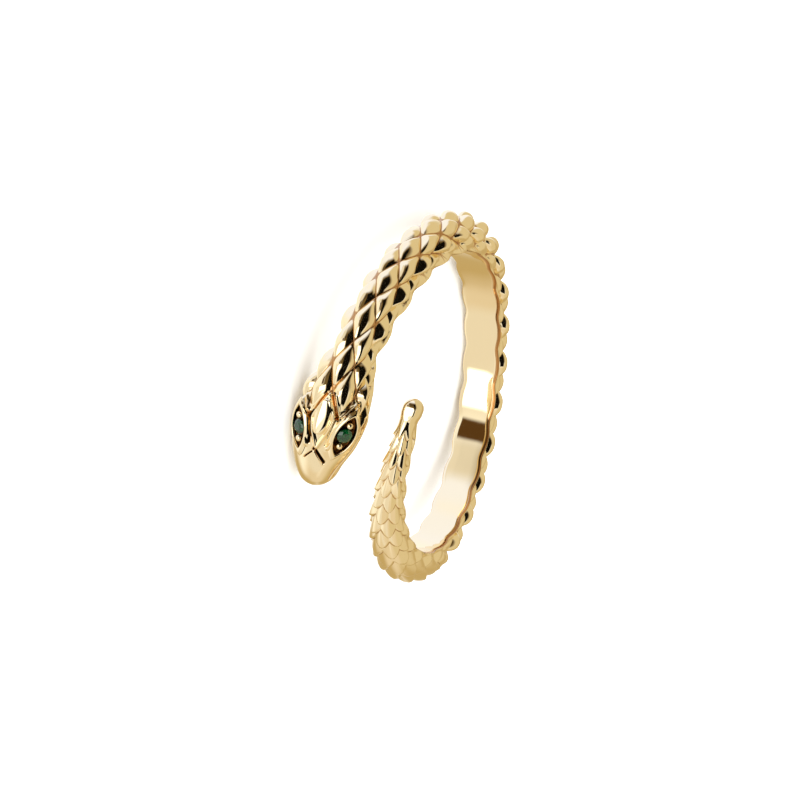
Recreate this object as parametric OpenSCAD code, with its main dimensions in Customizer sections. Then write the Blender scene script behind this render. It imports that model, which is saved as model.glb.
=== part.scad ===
// Snake ring: an open band of cast gold in the form of a scaled snake. The head and the
// tail pass each other side by side on the finger. Each eye is a round green cut stone
// in an almond socket, held by two small grains of gold.
// Millimetres. The ring lies on its side on the plane z = 0, with the finger axis nearly
// upright and the head at the front.

/* [Finger] */
// Inside diameter of the ring
finger_d = 17; // [15:0.5:21]

/* [Scales] */
// Depth of the grooves between the scales of the body
groove = 0.42; // [0.1:0.02:0.5]
// Rise of each scale towards its free edge, as a share of the groove
overlap = 0.3; // [0:0.05:0.6]

/* [Eyes] */
// Diameter of each eye stone
stone_d = 0.86; // [0.7:0.02:1]
// Length of the almond socket
socket_l = 2.5; // [1.9:0.1:2.6]
// Width of the almond socket
socket_w = 1.06; // [0.9:0.02:1.2]
// Depth of the socket floor below the skin of the head
socket_deep = 0.2; // [0.1:0.02:0.3]
// Radius of the grains that hold each stone
grain_r = 0.2; // [0.15:0.01:0.22]

/* [Rest] */
// Tilt that brings the head and the back of the ring down onto the floor
rest_pitch = -9.7; // [-12:0.05:12]
// Turn about the front to back line that levels the places it rests on
rest_roll = -1.1; // [-6:0.05:6]
// Depth of the small flats that wear has left where the ring lies
rest_flat = 0.12; // [0:0.01:0.15]

/* [Hidden] */
finger_r = finger_d / 2;
gold = [0.90, 0.76, 0.45];
green = [0.03, 0.42, 0.24];

// The body along its length. A row is half the length of a scale: the snout tip is at
// row -4, the back of the head at row 0 and the neck of the tail bead at row 52.
// angle is measured round the finger from the front, offset along the finger axis, and
// relief is the share of the full groove depth.
ROW = 0; ANGLE = 1; OFFSET = 2; HALF = 3; THICK = 4; RELIEF = 5;
body = [
    // row, angle, offset, half width, thickness, relief
    [-4.0, -40.0, -2.75, 0.80, 1.55, 0.0],
    [-3.0, -32.0, -2.66, 1.28, 2.05, 0.0],
    [-2.0, -22.5, -2.37, 1.84, 2.35, 0.2],
    [-1.0, -13.0, -2.15, 2.10, 2.52, 0.8],
    [0.0, -4.2, -1.95, 1.94, 2.58, 1.0],
    [1.0, 3.8, -1.76, 1.55, 2.54, 1.0],
    [2.0, 11.0, -1.60, 1.40, 2.48, 1.0],
    [4.0, 26.2, -1.28, 1.41, 2.38, 1.0],
    [6.0, 41.0, -0.96, 1.42, 2.28, 1.0],
    [12.0, 84.0, -0.30, 1.42, 2.18, 1.0],
    [22.0, 155.5, 0.12, 1.28, 2.16, 1.0],
    [28.0, 198.5, 0.60, 1.22, 2.15, 1.0],
    [34.0, 241.5, 1.02, 1.21, 2.12, 1.0],
    [39.0, 276.0, 1.08, 1.27, 1.95, 0.9],
    [44.0, 305.5, 1.19, 1.10, 1.62, 0.7],
    [48.0, 328.0, 1.60, 0.86, 1.42, 0.6],
    [51.0, 344.0, 2.02, 0.66, 1.30, 0.5],
    [52.0, 350.0, 2.12, 0.49, 1.12, 0.0],
    [52.7, 353.5, 2.22, 0.57, 1.20, 0.0],
    [53.7, 358.5, 2.34, 0.56, 1.16, 0.0],
];
row_snout = body[0][ROW];
row_tip = body[len(body) - 1][ROW];
row_neck = 52;
// radius of the rounding at the snout and at the end of the tail bead
snout_round = 0.95;
tail_round = 0.62;

// Section of the body: columns divide the outer face, and column 0 is the line of scales
// along its middle, which stands a little to the near side of square.
// The widest level is a share of the thickness, and the lower edges are drawn in so that
// the finger bore cuts them to a small chamfer.
col_deg = 36;
middle_deg = 87;
level_share = 0.35;
edge_share = 0.85;
edge_sink = 0.22;
// share by which the scale columns are wider on the head
head_stretch = 0.45;

// Raised plates of the head
PL_ROW = 0; PL_COL = 1; PL_LONG = 2; PL_WIDE = 3; PL_HIGH = 4;
plates = [
    // row, column, half length, half width, height
    [-0.95, 0.0, 0.55, 0.42, 0.16],
    [-1.5, -0.62, 0.75, 0.26, 0.10],
    [-1.5, 0.62, 0.75, 0.26, 0.10],
];

// Places of the eyes, and of the grains along the socket
eye_row = -1.47;
eye_col = 1.17;
eye_turn = 9;
eye_clear = [0.95, 0.85];
seat_gap = 0.025;
grain_at = stone_d / 2 + grain_r + seat_gap;

// Facets of a stone: heights of crown, girdle and pavilion and width of the table, as
// shares of its diameter
crown = 0.15;
girdle = 0.04;
pavilion = 0.4;
table = 0.55;

// Mesh of the skin
row_step = 1 / 3;
head_step = 1 / 8;
col_step = 1 / 3;
col_last = 10 * col_step;
skin_count = 21;
around = skin_count + 2;
tip_steps = [0.02, 0.08, 0.2, 0.35];

// Smooth curve through one column of a table whose first column rises
function knot(t, x, i = 0) = (i >= len(t) - 2 || x < t[i + 1][0]) ? i : knot(t, x, i + 1);
function rise(t, c, i) = (t[i + 1][c] - t[i][c]) / (t[i + 1][0] - t[i][0]);
function slope(t, c, i) =
    i == 0 ? rise(t, c, 0) :
    i == len(t) - 1 ? rise(t, c, i - 1) :
    let (a = rise(t, c, i - 1), b = rise(t, c, i)) a * b <= 0 ? 0 : 2 * a * b / (a + b);
function smooth_at(t, c, x) =
    let (i = knot(t, x), h = t[i + 1][0] - t[i][0], k = (x - t[i][0]) / h, k2 = k * k, k3 = k2 * k)
    (2 * k3 - 3 * k2 + 1) * t[i][c] + (k3 - 2 * k2 + k) * h * slope(t, c, i)
    + (3 * k2 - 2 * k3) * t[i + 1][c] + (k3 - k2) * h * slope(t, c, i + 1);

function clamp01(x) = max(0, min(1, x));
function ease(x) = let (k = clamp01(x)) k * k * (3 - 2 * k);
function frac(x) = x - floor(x);
function unit(v) = v / norm(v);

// The path: angle round the finger, directions there, and lean of the path
function angle_at(row) = smooth_at(body, ANGLE, row);
function offset_at(row) = smooth_at(body, OFFSET, row);
function outward(a) = [-sin(a), -cos(a), 0];
function onward(a) = [-cos(a), sin(a), 0];
function arc_mm(a) = a * PI / 180 * (finger_r + 1.2);
// The head is cast square to the finger, so the lean comes in behind it
function lean_at(row) =
    let (a = max(row - 0.05, row_snout), b = min(row + 0.05, row_tip))
    ease(row / 4) * atan2(offset_at(b) - offset_at(a), arc_mm(angle_at(b) - angle_at(a)));
function across(row) =
    let (l = lean_at(row)) cos(l) * [0, 0, 1] - sin(l) * onward(angle_at(row));

// Rounding of the two ends: 0 at the tip, 1 past the rounding. A power of 2 gives a round
// end, and a higher one a blunt end.
function round_off(d, r, power) = d >= r ? 1 : pow(1 - pow(1 - d / r, power), 1 / power);
function fill_at(row) =
    let (a = angle_at(row))
    round_off(arc_mm(a - angle_at(row_snout)), snout_round, 2.3)
    * round_off(arc_mm(angle_at(row_tip) - a), tail_round, 2);

// Scale lattice: grooves run where (row + col) / 2 or (row - col) / 2 is a whole number, and
// the columns are stretched on the broad head so that its scales keep their shape.
// The value is 0 in a groove and about 1 on top of a scale, higher towards its free edge.
function stretch(row) = 1 + head_stretch * (1 - ease(row / 1.7));
function scale_at(row, col) =
    let (c = col * stretch(row), p = frac((row + c) / 2) - 0.5, q = frac((row - c) / 2) - 0.5)
    (1 - pow(2 * max(abs(p), abs(q)), 1.7)) * (1 - overlap * (p + q));
function near_eye(row, col) =
    clamp01(1 - norm([(row - eye_row) / eye_clear[0], (abs(col) - eye_col) / eye_clear[1]]));
function plate_at(row, col) = max([for (p = plates)
    p[PL_HIGH] * clamp01(1 - abs(row - p[PL_ROW]) / p[PL_LONG] - abs(col - p[PL_COL]) / p[PL_WIDE])]);
// depth of the skin below the plain outline
function carve_at(row, col) =
    groove * smooth_at(body, RELIEF, row) * clamp01((3.1 - abs(col)) / 0.4)
    * clamp01(1 - 3 * near_eye(row, col)) * (1 - scale_at(row, col)) - plate_at(row, col);

// Point of the section: [across the band, height over the finger]
function section_at(row, col, carve = true) =
    let (f = fill_at(row), w = smooth_at(body, HALF, row) * f, t = smooth_at(body, THICK, row),
         mid = t * level_share, high = (t - mid) * f, c = cos(middle_deg + col_deg * col),
         s = sin(middle_deg + col_deg * col), n = unit([high * c, w * s]))
    [w * c, mid + high * s] - n * (carve ? carve_at(row, col) * f : 0);
function place(row, q) =
    [0, 0, offset_at(row)] + (finger_r + q[1]) * outward(angle_at(row)) + q[0] * across(row);
function edge(row, side) =
    let (f = fill_at(row), w = smooth_at(body, HALF, row) * f, t = smooth_at(body, THICK, row))
    place(row, [side * w * edge_share, t * level_share * (1 - f) - edge_sink * f]);
function hoop(row) = [
    for (k = [0 : skin_count - 1]) place(row, section_at(row, k * col_step - col_last)),
    edge(row, -1), edge(row, 1),
];

rows = [
    for (d = tip_steps) row_snout + d,
    for (r = [row_snout + 0.5 : head_step : -0.01]) r,
    for (r = [0 : row_step : row_neck - 0.01]) r,
    for (r = [row_neck : 0.25 : row_tip - 0.4]) r,
    for (k = [len(tip_steps) - 1 : -1 : 0]) row_tip - tip_steps[k],
];
plain_hoops = [for (r = rows) hoop(r)];

// The way up as the ring lies, and the skin with its lowest places worn to one flat level
up = [-sin(rest_roll), sin(rest_pitch) * cos(rest_roll), cos(rest_pitch) * cos(rest_roll)];
flat_level = min([for (h = plain_hoops) for (p = h) p * up]) + rest_flat;
hoops = [for (h = plain_hoops) [for (p = h) p + max(0, flat_level - p * up) * up]];

// The two triangles of a cell share the diagonal that runs along the nearest groove
function cell(i, k) =
    let (a = i * around + k, b = i * around + (k + 1) % around, c = a + around, d = b + around,
         row = (rows[i] + rows[i + 1]) / 2, col = stretch(row) * ((k + 0.5) * col_step - col_last),
         p = frac((row + col) / 2) - 0.5, q = frac((row - col) / 2) - 0.5)
    k < skin_count - 1 && abs(p) > abs(q) ? [[a, b, c], [b, d, c]] : [[a, b, d], [a, d, c]];
skin_faces = concat(
    [[for (k = [around - 1 : -1 : 0]) k]],
    [for (i = [0 : len(rows) - 2]) for (k = [0 : around - 1]) each cell(i, k)],
    [[for (k = [0 : around - 1]) (len(rows) - 1) * around + k]]
);

// Seat of an eye: its own z axis stands out of the skin and its x axis runs along the socket
module at_eye(side) {
    o = place(eye_row, section_at(eye_row, side * eye_col, false));
    r = place(eye_row + 0.1, section_at(eye_row + 0.1, side * eye_col, false)) - o;
    c = place(eye_row, section_at(eye_row, side * eye_col + 0.05 * side, false)) - o;
    z = unit(cross(r, c) * side);
    x = unit(r);
    y = cross(z, x);
    multmatrix([[x[0], y[0], z[0], o[0]], [x[1], y[1], z[1], o[1]], [x[2], y[2], z[2], o[2]]])
        rotate([0, 0, side * eye_turn]) children();
}

module casting() polyhedron(points = [for (h = hoops) each h], faces = skin_faces, convexity = 10);

module socket() {
    lens_r = (pow(socket_l, 2) + pow(socket_w, 2)) / (4 * socket_w);
    translate([0, 0, -socket_deep]) intersection() {
        translate([0, lens_r - socket_w / 2, 0]) cylinder(r = lens_r, h = 1, $fn = 64);
        translate([0, socket_w / 2 - lens_r, 0]) cylinder(r = lens_r, h = 1, $fn = 64);
    }
    translate([0, 0, -0.62]) cylinder(r = stone_d / 2 + seat_gap, h = 1.2, $fn = 48);
}

module grains() for (s = [-1, 1])
    translate([s * grain_at, 0, -socket_deep + 0.6 * grain_r]) sphere(r = grain_r, $fn = 20);

// The cast skin turned as it lies, and the move that centres it and sets it on the floor
function lying_point(p) =
    let (y = p[1] * cos(rest_pitch) - p[2] * sin(rest_pitch),
         z = p[1] * sin(rest_pitch) + p[2] * cos(rest_pitch))
    [p[0] * cos(rest_roll) + z * sin(rest_roll), y, z * cos(rest_roll) - p[0] * sin(rest_roll)];
lying_skin = [for (h = hoops) for (p = h) lying_point(p)];
function span(axis) = let (v = [for (p = lying_skin) p[axis]]) [min(v), max(v)];
span_x = span(0);
span_y = span(1);
home = [-(span_x[0] + span_x[1]) / 2, -(span_y[0] + span_y[1]) / 2, -span(2)[0]];
module lying() translate(home) rotate([rest_pitch, rest_roll, 0]) children();

module snake_band() color(gold) lying() {
    difference() {
        casting();
        translate([0, 0, -10]) rotate([0, 0, 90]) cylinder(r = finger_r, h = 20, $fn = 128);
        at_eye(-1) socket();
        at_eye(1) socket();
    }
    at_eye(-1) grains();
    at_eye(1) grains();
}

// Round stone: eight-sided table, kites and triangles down to a girdle of sixteen sides,
// and sixteen facets below it that meet in a point
module stone() {
    r = stone_d / 2;
    function ring(n, radius, z, turn) =
        [for (k = [0 : n - 1]) [radius * cos(360 / n * (k + turn)), radius * sin(360 / n * (k + turn)), z]];
    top = crown * stone_d;
    low = girdle * stone_d;
    points = concat(ring(8, r * table, top, 0.5), ring(8, r * 0.82, top * 0.58, 0),
        ring(16, r, 0, 0), ring(16, r, -low, 0), [[0, 0, -low - pavilion * stone_d]]);
    hull() polyhedron(points = points, faces = [[for (k = [0 : 7]) k], [for (k = [8 : 15]) k],
        [for (k = [16 : 31]) k], [for (k = [32 : 47]) k], [0, 8, 48]]);
}
module eye_stone_right() color(green) lying() at_eye(-1) translate([0, 0, -0.03]) stone();
module eye_stone_left() color(green) lying() at_eye(1) translate([0, 0, -0.03]) stone();

snake_band();
eye_stone_right();
eye_stone_left();
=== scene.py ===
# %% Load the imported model
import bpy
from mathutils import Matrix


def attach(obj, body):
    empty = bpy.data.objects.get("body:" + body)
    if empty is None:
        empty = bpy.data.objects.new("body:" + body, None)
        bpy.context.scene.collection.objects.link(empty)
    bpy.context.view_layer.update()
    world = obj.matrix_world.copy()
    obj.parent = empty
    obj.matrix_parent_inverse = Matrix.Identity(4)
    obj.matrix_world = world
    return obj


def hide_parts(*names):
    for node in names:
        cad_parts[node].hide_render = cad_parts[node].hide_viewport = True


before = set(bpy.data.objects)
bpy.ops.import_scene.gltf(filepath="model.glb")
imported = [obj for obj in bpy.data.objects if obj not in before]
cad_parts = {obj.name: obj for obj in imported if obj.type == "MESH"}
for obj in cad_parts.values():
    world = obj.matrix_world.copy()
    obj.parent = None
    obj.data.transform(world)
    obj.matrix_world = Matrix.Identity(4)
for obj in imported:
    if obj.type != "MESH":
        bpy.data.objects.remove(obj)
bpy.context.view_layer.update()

# %% [markdown]
# # A snake ring in polished yellow gold
# The real ring is one casting: a snake whose body goes once round the finger, so that its
# head and its tail lie side by side. The CAD model holds its size, its way of lying on a
# table and its scales in plain facets. Here the same skin is drawn again, much finer, and
# gets what is added at the bench, a mirror polish and green cut stones, and painted shade in its recesses.

# %% Tools and units
import math
import bpy
import numpy as np
from mathutils import Matrix, Vector

MM = 0.001
FINGER_R = 8.5  # radius of the finger hole, mm
REST_PITCH, REST_ROLL = -9.7, -1.1  # the ring lies on its head and its back, so its axis leans
HOME = Vector((0.118035, 0.335739, 2.50287))  # sets the leaning ring on the floor, mm

rest = (Matrix.Translation(HOME)
        @ Matrix.Rotation(math.radians(REST_ROLL), 4, "Y")
        @ Matrix.Rotation(math.radians(REST_PITCH), 4, "X"))
REST = np.array(rest)


def lay_down(points):
    """Points of the upright ring, in mm, as points of the ring on the floor, in metres."""
    laid = np.asarray(points, float) @ REST[:3, :3].T + REST[:3, 3]
    laid[..., 2] = np.maximum(laid[..., 2], 0.0)  # wear leaves small flats where it lies
    return laid * MM


print("the finger axis leans", round(math.degrees(math.acos(REST[2, 2])), 2), "degrees")

# %% [markdown]
# ## The path and the girth of the snake
# A snake is easy to describe by stations along its length. Each row of the table gives the
# place round the finger, the offset along it, half the width and the thickness. One row is
# half the length of a scale, so the same number later says where each scale lies. A smooth
# curve that never overshoots joins the stations, which keeps the neck and the tail clean.

# %% Stations of the body
ROW, ANGLE, OFFSET, HALF, THICK, RELIEF = range(6)
BODY = np.array([
    # row, angle, offset, half width, thickness, relief
    [-4.0, -40.0, -2.75, 0.80, 1.55, 0.0],
    [-3.0, -32.0, -2.66, 1.28, 2.05, 0.0],
    [-2.0, -22.5, -2.37, 1.84, 2.35, 0.2],
    [-1.0, -13.0, -2.15, 2.10, 2.52, 0.8],
    [0.0, -4.2, -1.95, 1.94, 2.58, 1.0],
    [1.0, 3.8, -1.76, 1.55, 2.54, 1.0],
    [2.0, 11.0, -1.60, 1.40, 2.48, 1.0],
    [4.0, 26.2, -1.28, 1.41, 2.38, 1.0],
    [6.0, 41.0, -0.96, 1.42, 2.28, 1.0],
    [12.0, 84.0, -0.30, 1.42, 2.18, 1.0],
    [22.0, 155.5, 0.12, 1.28, 2.16, 1.0],
    [28.0, 198.5, 0.60, 1.22, 2.15, 1.0],
    [34.0, 241.5, 1.02, 1.21, 2.12, 1.0],
    [39.0, 276.0, 1.08, 1.27, 1.95, 1.1],
    [44.0, 305.5, 1.19, 1.10, 1.62, 1.2],
    [48.0, 328.0, 1.60, 0.86, 1.42, 1.2],
    [51.0, 344.0, 2.02, 0.66, 1.30, 1.1],
    [52.0, 350.0, 2.12, 0.49, 1.12, 0.0],
    [52.7, 353.5, 2.22, 0.57, 1.20, 0.0],
    [53.7, 358.5, 2.34, 0.56, 1.16, 0.0],
])
ROW_SNOUT, ROW_TIP = BODY[0, ROW], BODY[-1, ROW]


def smooth_at(column, row):
    """One column of the table at any row, on a curve that never overshoots a station."""
    at, value = BODY[:, ROW], BODY[:, column]
    step = np.diff(at)
    rise = np.diff(value) / step
    before, after = rise[:-1], rise[1:]
    turn = before * after <= 0
    slope = np.concatenate([[rise[0]], np.where(turn, 0, 2 * before * after
                            / np.where(turn, 1, before + after)), [rise[-1]]])
    i = np.clip(np.searchsorted(at, row, side="right") - 1, 0, len(step) - 1)
    k = (row - at[i]) / step[i]
    return ((1 + 2 * k) * (1 - k) ** 2 * value[i] + k * (1 - k) ** 2 * step[i] * slope[i]
            + k * k * (3 - 2 * k) * value[i + 1] + k * k * (k - 1) * step[i] * slope[i + 1])


def blend(value, low, high):
    """0 below low, 1 above high and a soft step between them."""
    k = np.clip((value - low) / (high - low), 0, 1)
    return k * k * (3 - 2 * k)


print("the snake is", len(BODY), "stations long, from row", ROW_SNOUT, "to", ROW_TIP)

# %% [markdown]
# ## From a station to a point in space
# At each station the section is an ellipse that stands on the finger. Its columns are
# counted from the middle of the back, 36 degrees of the ellipse each. The path also drifts
# sideways along the finger, so each section is turned to stay square to the path.

# %% Section and place
COL_DEG = 36.0          # degrees of the ellipse from one column to the next
MIDDLE_DEG = 87.0       # where the middle of the back is on the ellipse
LEVEL_SHARE = 0.35      # share of the thickness at which a section is widest
SNOUT_ROUND, TAIL_ROUND = 0.95, 0.62  # length over which each end is rounded, mm
SNOUT_POWER, TAIL_POWER = 2.3, 2.0    # 2 is a round end, and a higher one is blunter
ARC_R = FINGER_R + 1.2  # lengths along the snake are measured on this radius, mm
LEAN_ROWS = (0.0, 4.0)  # over these rows the sections begin to turn with the path
LEAN_STEP = 0.05        # the drift is measured from this many rows before to as many after
ALONG_FINGER = np.array([0, 0, 1.0])
TINY = 1e-9             # keeps a division from having nothing under it


def outward(angle):
    """Away from the finger's axis."""
    a = np.radians(angle)
    return np.stack([-np.sin(a), -np.cos(a), 0 * a], -1)


def onward(angle):
    """Round the finger, from the head to the tail."""
    a = np.radians(angle)
    return np.stack([-np.cos(a), np.sin(a), 0 * a], -1)


def fill_at(row):
    """1 along the body, falling to 0 on an arc at the snout and the tail tip."""
    angle = smooth_at(ANGLE, row)
    share = 1.0
    for gap, radius, power in ((angle - BODY[0, ANGLE], SNOUT_ROUND, SNOUT_POWER),
                               (BODY[-1, ANGLE] - angle, TAIL_ROUND, TAIL_POWER)):
        left = np.clip(1 - np.radians(gap) * ARC_R / radius, 0, 1)
        share = share * (1 - left ** power) ** (1 / power)
    return share


def section(row, col):
    """Across the band and up from the finger, in mm, with the direction out of the skin."""
    fill, thick = fill_at(row), smooth_at(THICK, row)
    half, mid = smooth_at(HALF, row) * fill, thick * LEVEL_SHARE
    high = (thick - mid) * fill
    turn = np.radians(MIDDLE_DEG + COL_DEG * col)
    c, s = np.cos(turn), np.sin(turn)
    out = np.stack([high * c, half * s], -1)
    out = out / (np.linalg.norm(out, axis=-1, keepdims=True) + TINY)
    return np.stack([half * c, mid + high * s], -1), out


def lean_at(row):
    """How much the path drifts sideways; the head is cast square, so there it is 0."""
    a, b = np.maximum(row - LEAN_STEP, ROW_SNOUT), np.minimum(row + LEAN_STEP, ROW_TIP)
    ahead = np.radians(smooth_at(ANGLE, b) - smooth_at(ANGLE, a)) * ARC_R
    return blend(row, *LEAN_ROWS) * np.arctan2(smooth_at(OFFSET, b) - smooth_at(OFFSET, a), ahead)


def place(row, flat):
    """A point of the flat section, set in the upright ring."""
    angle, lean = smooth_at(ANGLE, row), lean_at(row)[..., None]
    across = np.cos(lean) * ALONG_FINGER - np.sin(lean) * onward(angle)
    centre = smooth_at(OFFSET, row)[..., None] * ALONG_FINGER
    return centre + (FINGER_R + flat[..., 1:]) * outward(angle) + flat[..., :1] * across


def skin(row, col, lift=0.0):
    """A point of the plain outline, or this far over it, in the upright ring."""
    row, col, lift = np.broadcast_arrays(np.asarray(row, float), col, lift)
    flat, out = section(row, col)
    return place(row, flat + out * lift[..., None])


print("thickest:", round(float(smooth_at(THICK, np.array(0.0))), 2), "mm behind the head")

# %% [markdown]
# ## The scales
# Each scale is a blunt pyramid between four grooves that cross like a lattice, so a scale is
# known by two numbers that count the grooves on each diagonal. Its four sides are nearly
# plane, so each mirrors one part of the room. Its corners are rounded off, which leaves a
# small flat star where the grooves cross.

# %% Shape of a scale
GROOVE = 0.30            # depth of a full groove, mm
CREST_U, CREST_V = 0.58, 0.39  # where a scale of the neck is highest on each diagonal
CREST_VARY = 0.08        # no two scales of the real ring are cut alike
VARY_STEPS = (4.1, 2.3)  # how fast that changes from scale to scale on each diagonal
CORNER = (4.0, 2.4)  # power of the corners at the neck and behind it: 2 is round, a high one sharp
DOME = (1.8, 2.4)    # power of the sides: 1 is a plain pyramid and a high one a flat-topped pillow
ROUND_ROWS = (9.0, 15.0)   # over these rows the sharp scales of the neck turn round
ROUND_COLS = (0.9, 1.8)  # scales on the left of the neck are round from the start
HEAD_STRETCH, STRETCH_ROWS = 1.45, (0.0, 1.7)  # the head is broad, so a scale takes fewer degrees
NECK_DRIFT = -0.20       # on the neck the rows of scales lie a little to one side, columns
DRIFT_FROM, DRIFT_TO = (0.0, 2.5), (5.0, 12.0)  # rows over which that begins and ends


def lattice(row, col):
    """The two numbers of a place: counts of the grooves on each diagonal."""
    wide = 1 + (HEAD_STRETCH - 1) * (1 - blend(row, *STRETCH_ROWS))
    drift = NECK_DRIFT * blend(row, *DRIFT_FROM) * (1 - blend(row, *DRIFT_TO))
    return (row + wide * (col - drift)) / 2, (row - wide * (col - drift)) / 2


def from_crest(t, crest):
    """Distance from the crest of a scale, 1 at the groove on either side."""
    t = t % 1 - crest
    return np.where(t < 0, -t / crest, t / (1 - crest))


def pyramid_height(row, col):
    """0 in the grooves and 1 on the crest of a scale, behind the head and on the back."""
    u, v = lattice(row, col)
    k = 1 - (1 - blend(row, *ROUND_ROWS)) * (1 - blend(col, *ROUND_COLS))
    corner, dome = CORNER[0] + k * (CORNER[1] - CORNER[0]), DOME[0] + k * (DOME[1] - DOME[0])
    vary = CREST_VARY * np.sin(VARY_STEPS[0] * np.floor(u) + VARY_STEPS[1] * np.floor(v))
    a = from_crest(u, CREST_U + k * (0.5 - CREST_U) + vary)
    b = from_crest(v, CREST_V + k * (0.5 - CREST_V) - vary)
    return np.clip(1 - ((a ** corner + b ** corner) ** (1 / corner)) ** dome, 0, 1)


# %% Shape of a scale on the tail
TONGUE_ROWS = (33.0, 36.0)           # over these rows the pyramids turn into tongues
TONGUE_MIDDLE = sum(TONGUE_ROWS) / 2
TONGUE_AT, TONGUE_WIDE = 0.20, 0.80  # column of the middle tongues and from one row of them to the next
LIP_RISE, LIP_POWER = 0.55, 1.7  # how far a lip bends away from the head at its sides, rows, and its curve
LIP_SOFT = 0.07                  # share of a scale that its lip takes to round over
FALL, SIDE_FALL, SIDE_POWER = 0.80, 0.35, 2  # how far a scale falls to its foot and its sides
RIDGE_ROWS, RIDGE_FALL = (41.0, 45.0), 0.22  # toward the tip a scale has a ridge along its middle
RIDGE_SHARP = 0.6                # the power of its sides is this much lower there
BACK_SPAN = (12.0, 22.0)         # rows of the plain back, where a scale is measured


def tongue(row, col, odd):
    """Counts the lips of one set of tongues along the tail, and how far a point is to the side."""
    side = ((col - TONGUE_AT) / TONGUE_WIDE - odd) % 2 - 1
    return (row - odd - LIP_RISE * abs(side) ** LIP_POWER) / 2, side


def tongue_height(row, col):
    """Tongues that overlap, each highest at its lip, which points to the head."""
    best = np.zeros(row.shape)
    ridge = blend(row, *RIDGE_ROWS)
    for odd in (0, 1):
        count, side = tongue(row, col, odd)
        behind = count % 1
        lip = blend(behind, 0.0, LIP_SOFT)
        slope = (SIDE_FALL + RIDGE_FALL * ridge) * abs(side) ** (SIDE_POWER - RIDGE_SHARP * ridge)
        best = np.maximum(best, lip * (1 - FALL * behind - slope))
    return best


def scale_height(row, col):
    """0 in the grooves and 1 where a scale is highest, anywhere on the snake."""
    k = blend(row, *TONGUE_ROWS)
    return (1 - k) * pyramid_height(row, col) + k * tongue_height(row, col)


turned = smooth_at(ANGLE, BACK_SPAN[1]) - smooth_at(ANGLE, BACK_SPAN[0])
row_deg = turned / (BACK_SPAN[1] - BACK_SPAN[0])
scale_mm = 2 * math.radians(row_deg) * (FINGER_R + smooth_at(THICK, BACK_SPAN[1]))
print("a scale is", round(float(scale_mm), 2), "mm long on the back")

# %% [markdown]
# ## The marks of the head
# The head has plates with raised borders, brows over the eyes and two slits at the nose.
# A chaser would set them in with a few strokes of a punch, so they are listed as strokes:
# a line on the skin, a width and a height, below the skin where it is negative. Strokes on
# both sides are listed once and mirrored.

# %% Strokes of the head
HEAD_MM = np.array([1.82, 1.25])  # size of a row and of a column on the head
FAR = 9.0                         # more than any distance, share or column that counts
BOTH, ONE = True, False
STROKES = [
    # line as (row, column) points, half width, height, on both sides
    ([(-0.12, 0.02), (-0.55, 0.33), (-1.00, 0.47), (-1.45, 0.30), (-1.92, 0.03)], 0.10, 0.15, BOTH),
    ([(-0.20, 0.18), (-0.58, 0.43), (-0.95, 0.60)], 0.05, -0.14, BOTH),
    ([(-0.20, 0.30), (-0.60, 0.52), (-0.96, 0.71)], 0.09, 0.12, BOTH),
    ([(-0.26, 1.56), (-0.60, 1.08), (-0.86, 0.78)], 0.08, 0.10, BOTH),
    ([(-0.36, 1.54), (-0.70, 1.06), (-0.94, 0.76)], 0.05, -0.15, BOTH),
    ([(-0.46, 1.56), (-0.80, 1.07), (-1.04, 0.74)], 0.10, 0.13, BOTH),
    ([(-0.72, 1.50), (-0.90, 1.22), (-1.34, 0.80), (-1.90, 0.56)], 0.14, 0.17, BOTH),
    ([(-2.02, 0.13), (-2.03, 0.13)], 0.08, -0.20, ONE),
    ([(-2.08, -0.02), (-2.26, -0.28), (-2.46, -0.60)], 0.08, -0.22, ONE),
    ([(-2.12, 0.20), (-2.38, 0.58)], 0.045, -0.16, ONE),
    ([(-0.90, 2.50), (-1.72, 2.22), (-2.50, 1.86), (-3.36, 1.44)], 0.10, -0.09, BOTH),
]
LEAF = (-0.90, 0.60, 0.38, 0.20, 0.12)  # middle row, half length, half width, height, extra at the tip
LEAF_CREST = 0.35  # share of the half width by which the crest of the leaf lies to the left
LEAF_SOFT = (0.25, 0.12)  # shares of its half width and half length over which the leaf rises
LEAF_LEAST = 0.001        # its ends keep this half width
# the sloping panel between the frame and the brow: rows, its deep edge and its high edge, depth
PANEL_ROWS, PANEL_DEEP, PANEL_HIGH, PANEL_MM = (-0.84, -1.84), (0.56, 0.37), (1.08, 0.56), 0.26
PANEL_WALL, PANEL_SOFT = 0.14, 0.06  # shares of the panel that its steep side and its ends take
PANEL_SHALLOW = 0.6                  # its front end is shallower by this share


def stroke_distance(row, col, line):
    """Distance on the skin from a broken line, in mm."""
    spot = np.stack([row, col], -1) * HEAD_MM
    nearest = np.full(row.shape, FAR)
    for start, end in zip(line[:-1], line[1:]):
        a, b = np.array(start) * HEAD_MM, np.array(end) * HEAD_MM
        along = np.clip((spot - a) @ (b - a) / max((b - a) @ (b - a), TINY), 0, 1)
        nearest = np.minimum(nearest, np.linalg.norm(spot - a - along[..., None] * (b - a), axis=-1))
    return nearest


def head_marks(row, col):
    """Height of the punched strokes alone."""
    height = np.zeros(row.shape)
    for line, width, lift, both in STROKES:
        reach = stroke_distance(row, abs(col) if both else col, line)
        height += lift * np.exp(-(reach / width) ** 2)
    return height


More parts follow.
